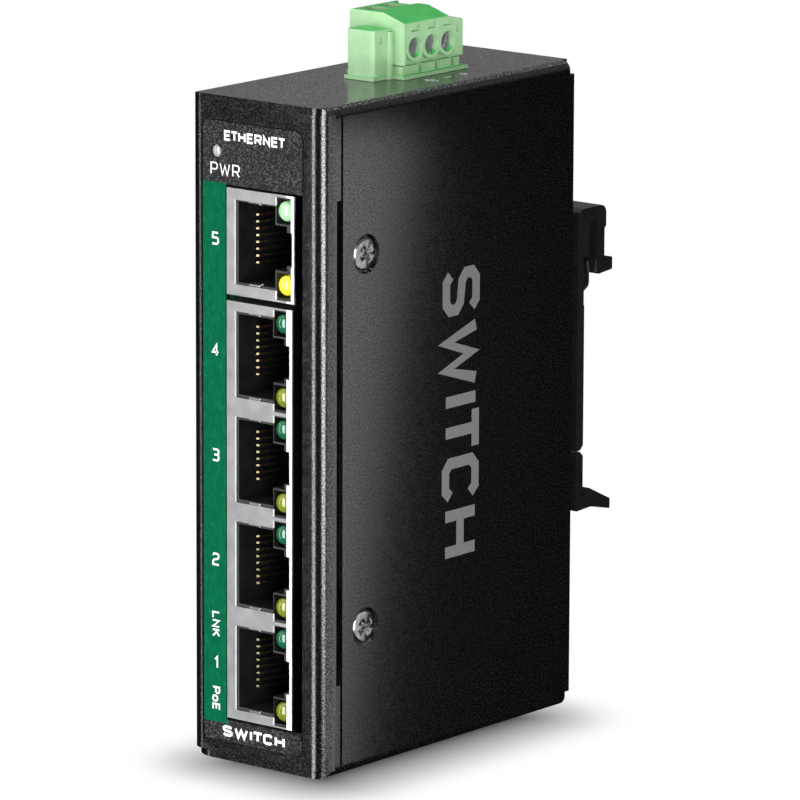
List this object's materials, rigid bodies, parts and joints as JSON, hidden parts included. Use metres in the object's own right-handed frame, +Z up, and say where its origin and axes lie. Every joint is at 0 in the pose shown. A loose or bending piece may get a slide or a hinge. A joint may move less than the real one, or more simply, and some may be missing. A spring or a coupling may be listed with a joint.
{
  "type": "rail-mounted network switch",
  "caption": "Slim black steel network switch with a column of shielded sockets on its front, a green plug-in supply terminal on top and a rail clip on its back.",
  "frame": {"origin": "centre of the case's flat bottom face, which is the mount base", "axes": "+Z up, towards the supply terminal; -Y out of the front with the sockets; +Y out of the back with the rail clip; +X to the right seen from the front"},
  "size_m": [0.026, 0.0694, 0.1097],
  "materials": {
    "coat": "fine-textured semi-gloss black powder coat on 1 mm steel",
    "label": "printed polyester overlay, dark grey with a green stripe and white print, fine texture",
    "shield": "bright tin-plated stamped sheet",
    "black_plastic": "moulded black glass-filled plastic",
    "gold": "gold-plated spring contacts",
    "lamp_pale_green": "pale green tinted lens",
    "lamp_yellow": "bright yellow tinted lens",
    "lamp_green": "dark green tinted lens",
    "lamp_olive": "olive yellow tinted lens",
    "lamp_clear": "frosted clear light pipe",
    "board": "green solder mask on glass-epoxy laminate",
    "chip": "black moulded component package",
    "capacitor": "dark sleeved aluminium can",
    "tin": "nickel or tin plated metal",
    "black_nickel": "polished black nickel plated steel",
    "terminal_green": "light green moulded polyamide",
    "clip_black": "satin black moulded plastic",
    "spring_steel": "bare spring steel"
  },
  "bodies": {
    "case": {"chassis": "coat", "cover": "coat", "front_label": "label", "port_shield_single": "shield", "port_shield_ganged": "shield", "port_housing_single": "black_plastic", "port_housing_ganged": "black_plastic", "contacts_port_1": "gold", "contacts_port_2": "gold", "contacts_port_3": "gold", "contacts_port_4": "gold", "contacts_port_5": "gold", "link_lamp_5": "lamp_pale_green", "supply_lamp_5": "lamp_yellow", "link_lamp_1": "lamp_green", "link_lamp_2": "lamp_green", "link_lamp_3": "lamp_green", "link_lamp_4": "lamp_green", "supply_lamp_1": "lamp_olive", "supply_lamp_2": "lamp_olive", "supply_lamp_3": "lamp_olive", "supply_lamp_4": "lamp_olive", "power_lamp": "lamp_clear", "main_board": "board", "switch_chip": "chip", "power_controller_chip": "chip", "power_inductor": "chip", "magnetics_ports_1_2": "chip", "magnetics_ports_3_4": "chip", "magnetics_port_5": "chip", "filter_capacitor_lower": "capacitor", "filter_capacitor_upper": "capacitor", "clock_crystal": "tin", "board_standoff_1": "tin", "board_standoff_2": "tin", "board_standoff_3": "tin", "board_standoff_4": "tin", "board_screw_1": "tin", "board_screw_2": "tin", "board_screw_3": "tin", "board_screw_4": "tin", "header_pin_1": "tin", "header_pin_2": "tin", "header_pin_3": "tin", "cover_screw_lower": "black_nickel", "cover_screw_upper": "black_nickel", "clip_screw_lower": "black_nickel", "clip_screw_upper": "black_nickel", "terminal_header": "terminal_green", "rail_clip": "clip_black"},
    "plug": {"terminal_plug": "terminal_green"},
    "latch": {"rail_clip_latch": "clip_black"},
    "clip_leaf": {"rail_clip_spring": "spring_steel"},
    "clamp_screw_1": {"terminal_screw_1": "tin"},
    "wire_clamp_1": {"terminal_clamp_1": "tin"},
    "clamp_screw_2": {"terminal_screw_2": "tin"},
    "wire_clamp_2": {"terminal_clamp_2": "tin"},
    "clamp_screw_3": {"terminal_screw_3": "tin"},
    "wire_clamp_3": {"terminal_clamp_3": "tin"}
  },
  "joints": [
    {"name": "plug_withdraw", "type": "slide", "parent": "case", "child": "plug", "axis": [0, 0, 1], "range_m": [0, 0.009]},
    {"name": "latch_flex", "type": "hinge", "parent": "case", "child": "latch", "pos_m": [0, 0.0317, 0.03915], "axis": [1, 0, 0], "range_deg": [-6, 0], "stiffness_Nm_per_rad": 0.05},
    {"name": "clip_leaf_press", "type": "hinge", "parent": "case", "child": "clip_leaf", "pos_m": [0, 0.03255, 0.0627], "axis": [1, 0, 0], "range_deg": [0, 7], "stiffness_Nm_per_rad": 0.02},
    {"name": "clamp_screw_1_turn", "type": "hinge", "parent": "plug", "child": "clamp_screw_1", "pos_m": [0.002, 0.0008, 0.1046], "axis": [1, 0, 0], "range_deg": [0, 1080]},
    {"name": "wire_clamp_1_travel", "type": "slide", "parent": "plug", "child": "wire_clamp_1", "axis": [-1, 0, 0], "range_m": [0, 0.0012]},
    {"name": "clamp_screw_2_turn", "type": "hinge", "parent": "plug", "child": "clamp_screw_2", "pos_m": [0.002, 0.00461, 0.1046], "axis": [1, 0, 0], "range_deg": [0, 1080]},
    {"name": "wire_clamp_2_travel", "type": "slide", "parent": "plug", "child": "wire_clamp_2", "axis": [-1, 0, 0], "range_m": [0, 0.0012]},
    {"name": "clamp_screw_3_turn", "type": "hinge", "parent": "plug", "child": "clamp_screw_3", "pos_m": [0.002, 0.00842, 0.1046], "axis": [1, 0, 0], "range_deg": [0, 1080]},
    {"name": "wire_clamp_3_travel", "type": "slide", "parent": "plug", "child": "wire_clamp_3", "axis": [-1, 0, 0], "range_m": [0, 0.0012]}
  ],
  "couplings": [
    {"joint": "clamp_screw_1_turn", "follows": "wire_clamp_1_travel", "rad_per_m": 15708},
    {"joint": "clamp_screw_2_turn", "follows": "wire_clamp_2_travel", "rad_per_m": 15708},
    {"joint": "clamp_screw_3_turn", "follows": "wire_clamp_3_travel", "rad_per_m": 15708}
  ]
}
